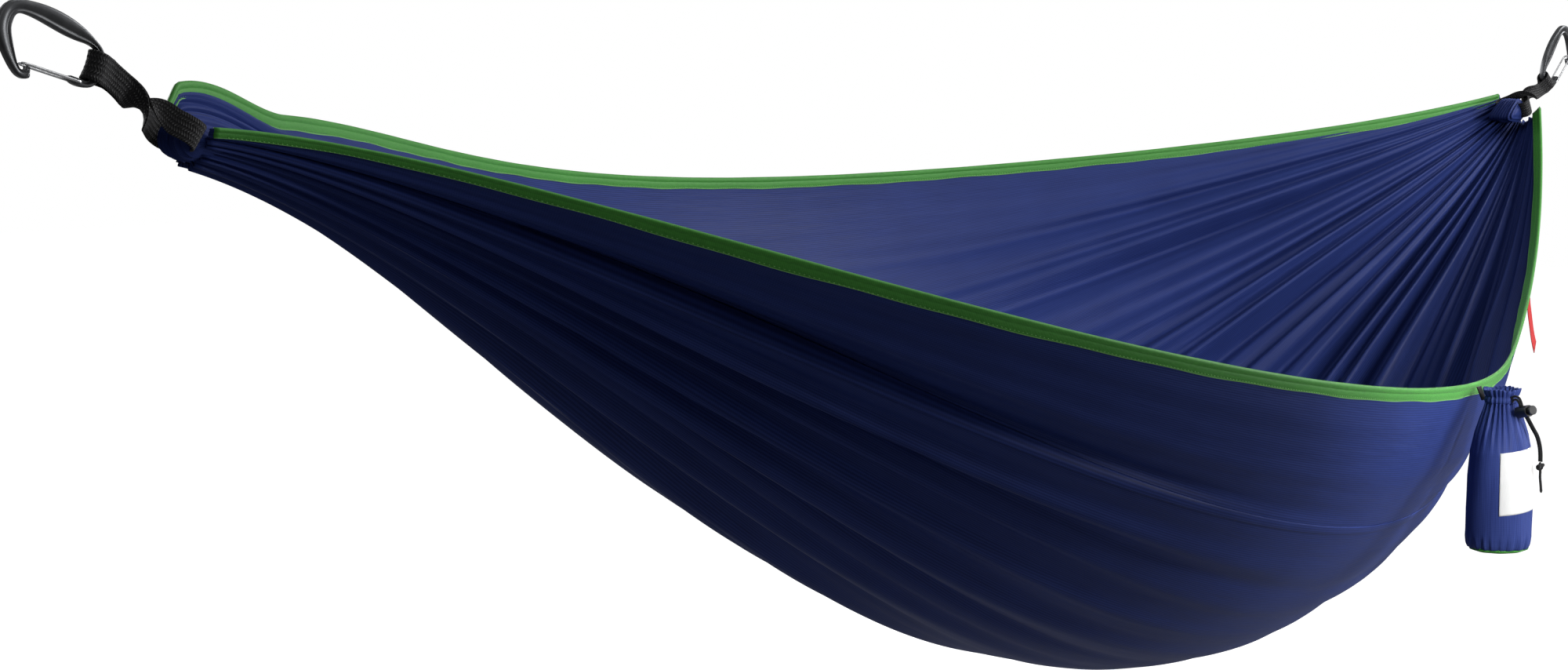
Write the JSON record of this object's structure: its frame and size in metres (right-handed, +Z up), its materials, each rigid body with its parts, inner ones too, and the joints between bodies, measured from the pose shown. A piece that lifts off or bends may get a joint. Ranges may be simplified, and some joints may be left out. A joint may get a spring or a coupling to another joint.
{
  "type": "camping hammock",
  "caption": "Gathered-end cloth hammock with bound edges, hung on webbing loops from two wire-gate carabiners, with a stuff sack sewn to one edge.",
  "frame": {"origin": "centre of the flat on the inner crown of the left carabiner, where the hammock hangs", "axes": "+X along the hammock from the left carabiner to the right one, +Y to the far edge (the stuff sack is on the -Y edge), +Z up"},
  "size_m": [2.862, 1.0643, 0.7406],
  "materials": {
    "navy_nylon": "satin woven parachute nylon",
    "green_binding": "folded polyester tape",
    "black_webbing": "woven webbing with grey flecks",
    "anodised_aluminium": "charcoal satin anodised",
    "steel_wire": "polished wire",
    "black_plastic": "moulded",
    "black_cord": "braided",
    "red_label_cloth": "woven label",
    "white_label_cloth": "printed patch, blank"
  },
  "bodies": {
    "bed": {"bed_near_side_panel": "navy_nylon", "bed_centre_panel": "navy_nylon", "bed_far_side_panel": "navy_nylon", "near_felled_seam": "navy_nylon", "far_felled_seam": "navy_nylon", "near_edge_binding": "green_binding", "far_edge_binding": "green_binding", "side_tag": "red_label_cloth", "left_end_sleeve": "navy_nylon", "right_end_sleeve": "navy_nylon"},
    "left_webbing": {"left_webbing_loop": "black_webbing"},
    "left_carabiner": {"left_carabiner_body": "anodised_aluminium"},
    "left_gate": {"left_carabiner_gate": "steel_wire"},
    "right_webbing": {"right_webbing_loop": "black_webbing"},
    "right_carabiner": {"right_carabiner_body": "anodised_aluminium"},
    "right_gate": {"right_carabiner_gate": "steel_wire"},
    "sack_tab": {"sack_hang_tab": "navy_nylon"},
    "stuff_sack": {"stuff_sack_body": "navy_nylon", "stuff_sack_base": "green_binding", "stuff_sack_neck_channel": "navy_nylon", "stuff_sack_label_patch": "white_label_cloth", "drawcord_neck_loop": "black_cord", "drawcord_strand_inner": "black_cord", "drawcord_strand_outer": "black_cord", "drawcord_knot": "black_cord"},
    "cord_lock": {"cord_lock_barrel": "black_plastic", "cord_lock_spring": "steel_wire"},
    "lock_button": {"cord_lock_button": "black_plastic"}
  },
  "joints": [
    {"name": "left_webbing_swing", "type": "hinge", "parent": "bed", "child": "left_webbing", "pos_m": [0.15516, -0.01631, -0.09316], "axis": [0.1045, 0.9945, 0], "range_deg": [-30, 25]},
    {"name": "left_carabiner_turn", "type": "hinge", "parent": "left_webbing", "child": "left_carabiner", "pos_m": [0.0737, -0.00775, -0.0358], "axis": [0.3886, -0.0408, 0.9205], "range_deg": [-75, 75]},
    {"name": "left_gate_open", "type": "hinge", "parent": "left_carabiner", "child": "left_gate", "pos_m": [0.05718, -0.00601, -0.04678], "axis": [0.1045, 0.9945, 0], "range_deg": [0, 27], "stiffness_Nm_per_rad": 0.06, "springref_deg": -14.32},
    {"name": "right_webbing_swing", "type": "hinge", "parent": "bed", "child": "right_webbing", "pos_m": [2.69316, -0.01631, -0.10916], "axis": [-0.1736, -0.9848, 0], "range_deg": [-30, 25]},
    {"name": "right_carabiner_turn", "type": "hinge", "parent": "right_webbing", "child": "right_carabiner", "pos_m": [2.78242, -0.03205, -0.0669], "axis": [-0.7865, 0.1387, 0.6018], "range_deg": [-75, 75]},
    {"name": "right_gate_open", "type": "hinge", "parent": "right_carabiner", "child": "right_gate", "pos_m": [2.80199, -0.0355, -0.0681], "axis": [-0.1736, -0.9848, 0], "range_deg": [0, 27], "stiffness_Nm_per_rad": 0.06, "springref_deg": -14.32},
    {"name": "sack_swing_out", "type": "hinge", "parent": "bed", "child": "sack_tab", "pos_m": [1.54966, -0.49696, -0.38381], "axis": [1, 0, 0], "range_deg": [-70, 3]},
    {"name": "sack_swing_sideways", "type": "hinge", "parent": "sack_tab", "child": "stuff_sack", "pos_m": [1.54966, -0.50336, -0.39581], "axis": [0, 1, 0], "range_deg": [-24, 24]},
    {"name": "cord_lock_slide", "type": "slide", "parent": "stuff_sack", "child": "cord_lock", "axis": [0.3126, -0.3692, -0.8752], "range_m": [0, 0.022]},
    {"name": "lock_button_press", "type": "slide", "parent": "cord_lock", "child": "lock_button", "axis": [0.4296, 0.8767, -0.2164], "range_m": [0, 0.0034], "stiffness_N_per_m": 250, "springref_m": -0.0004, "deforming": ["cord_lock_spring"]}
  ]
}
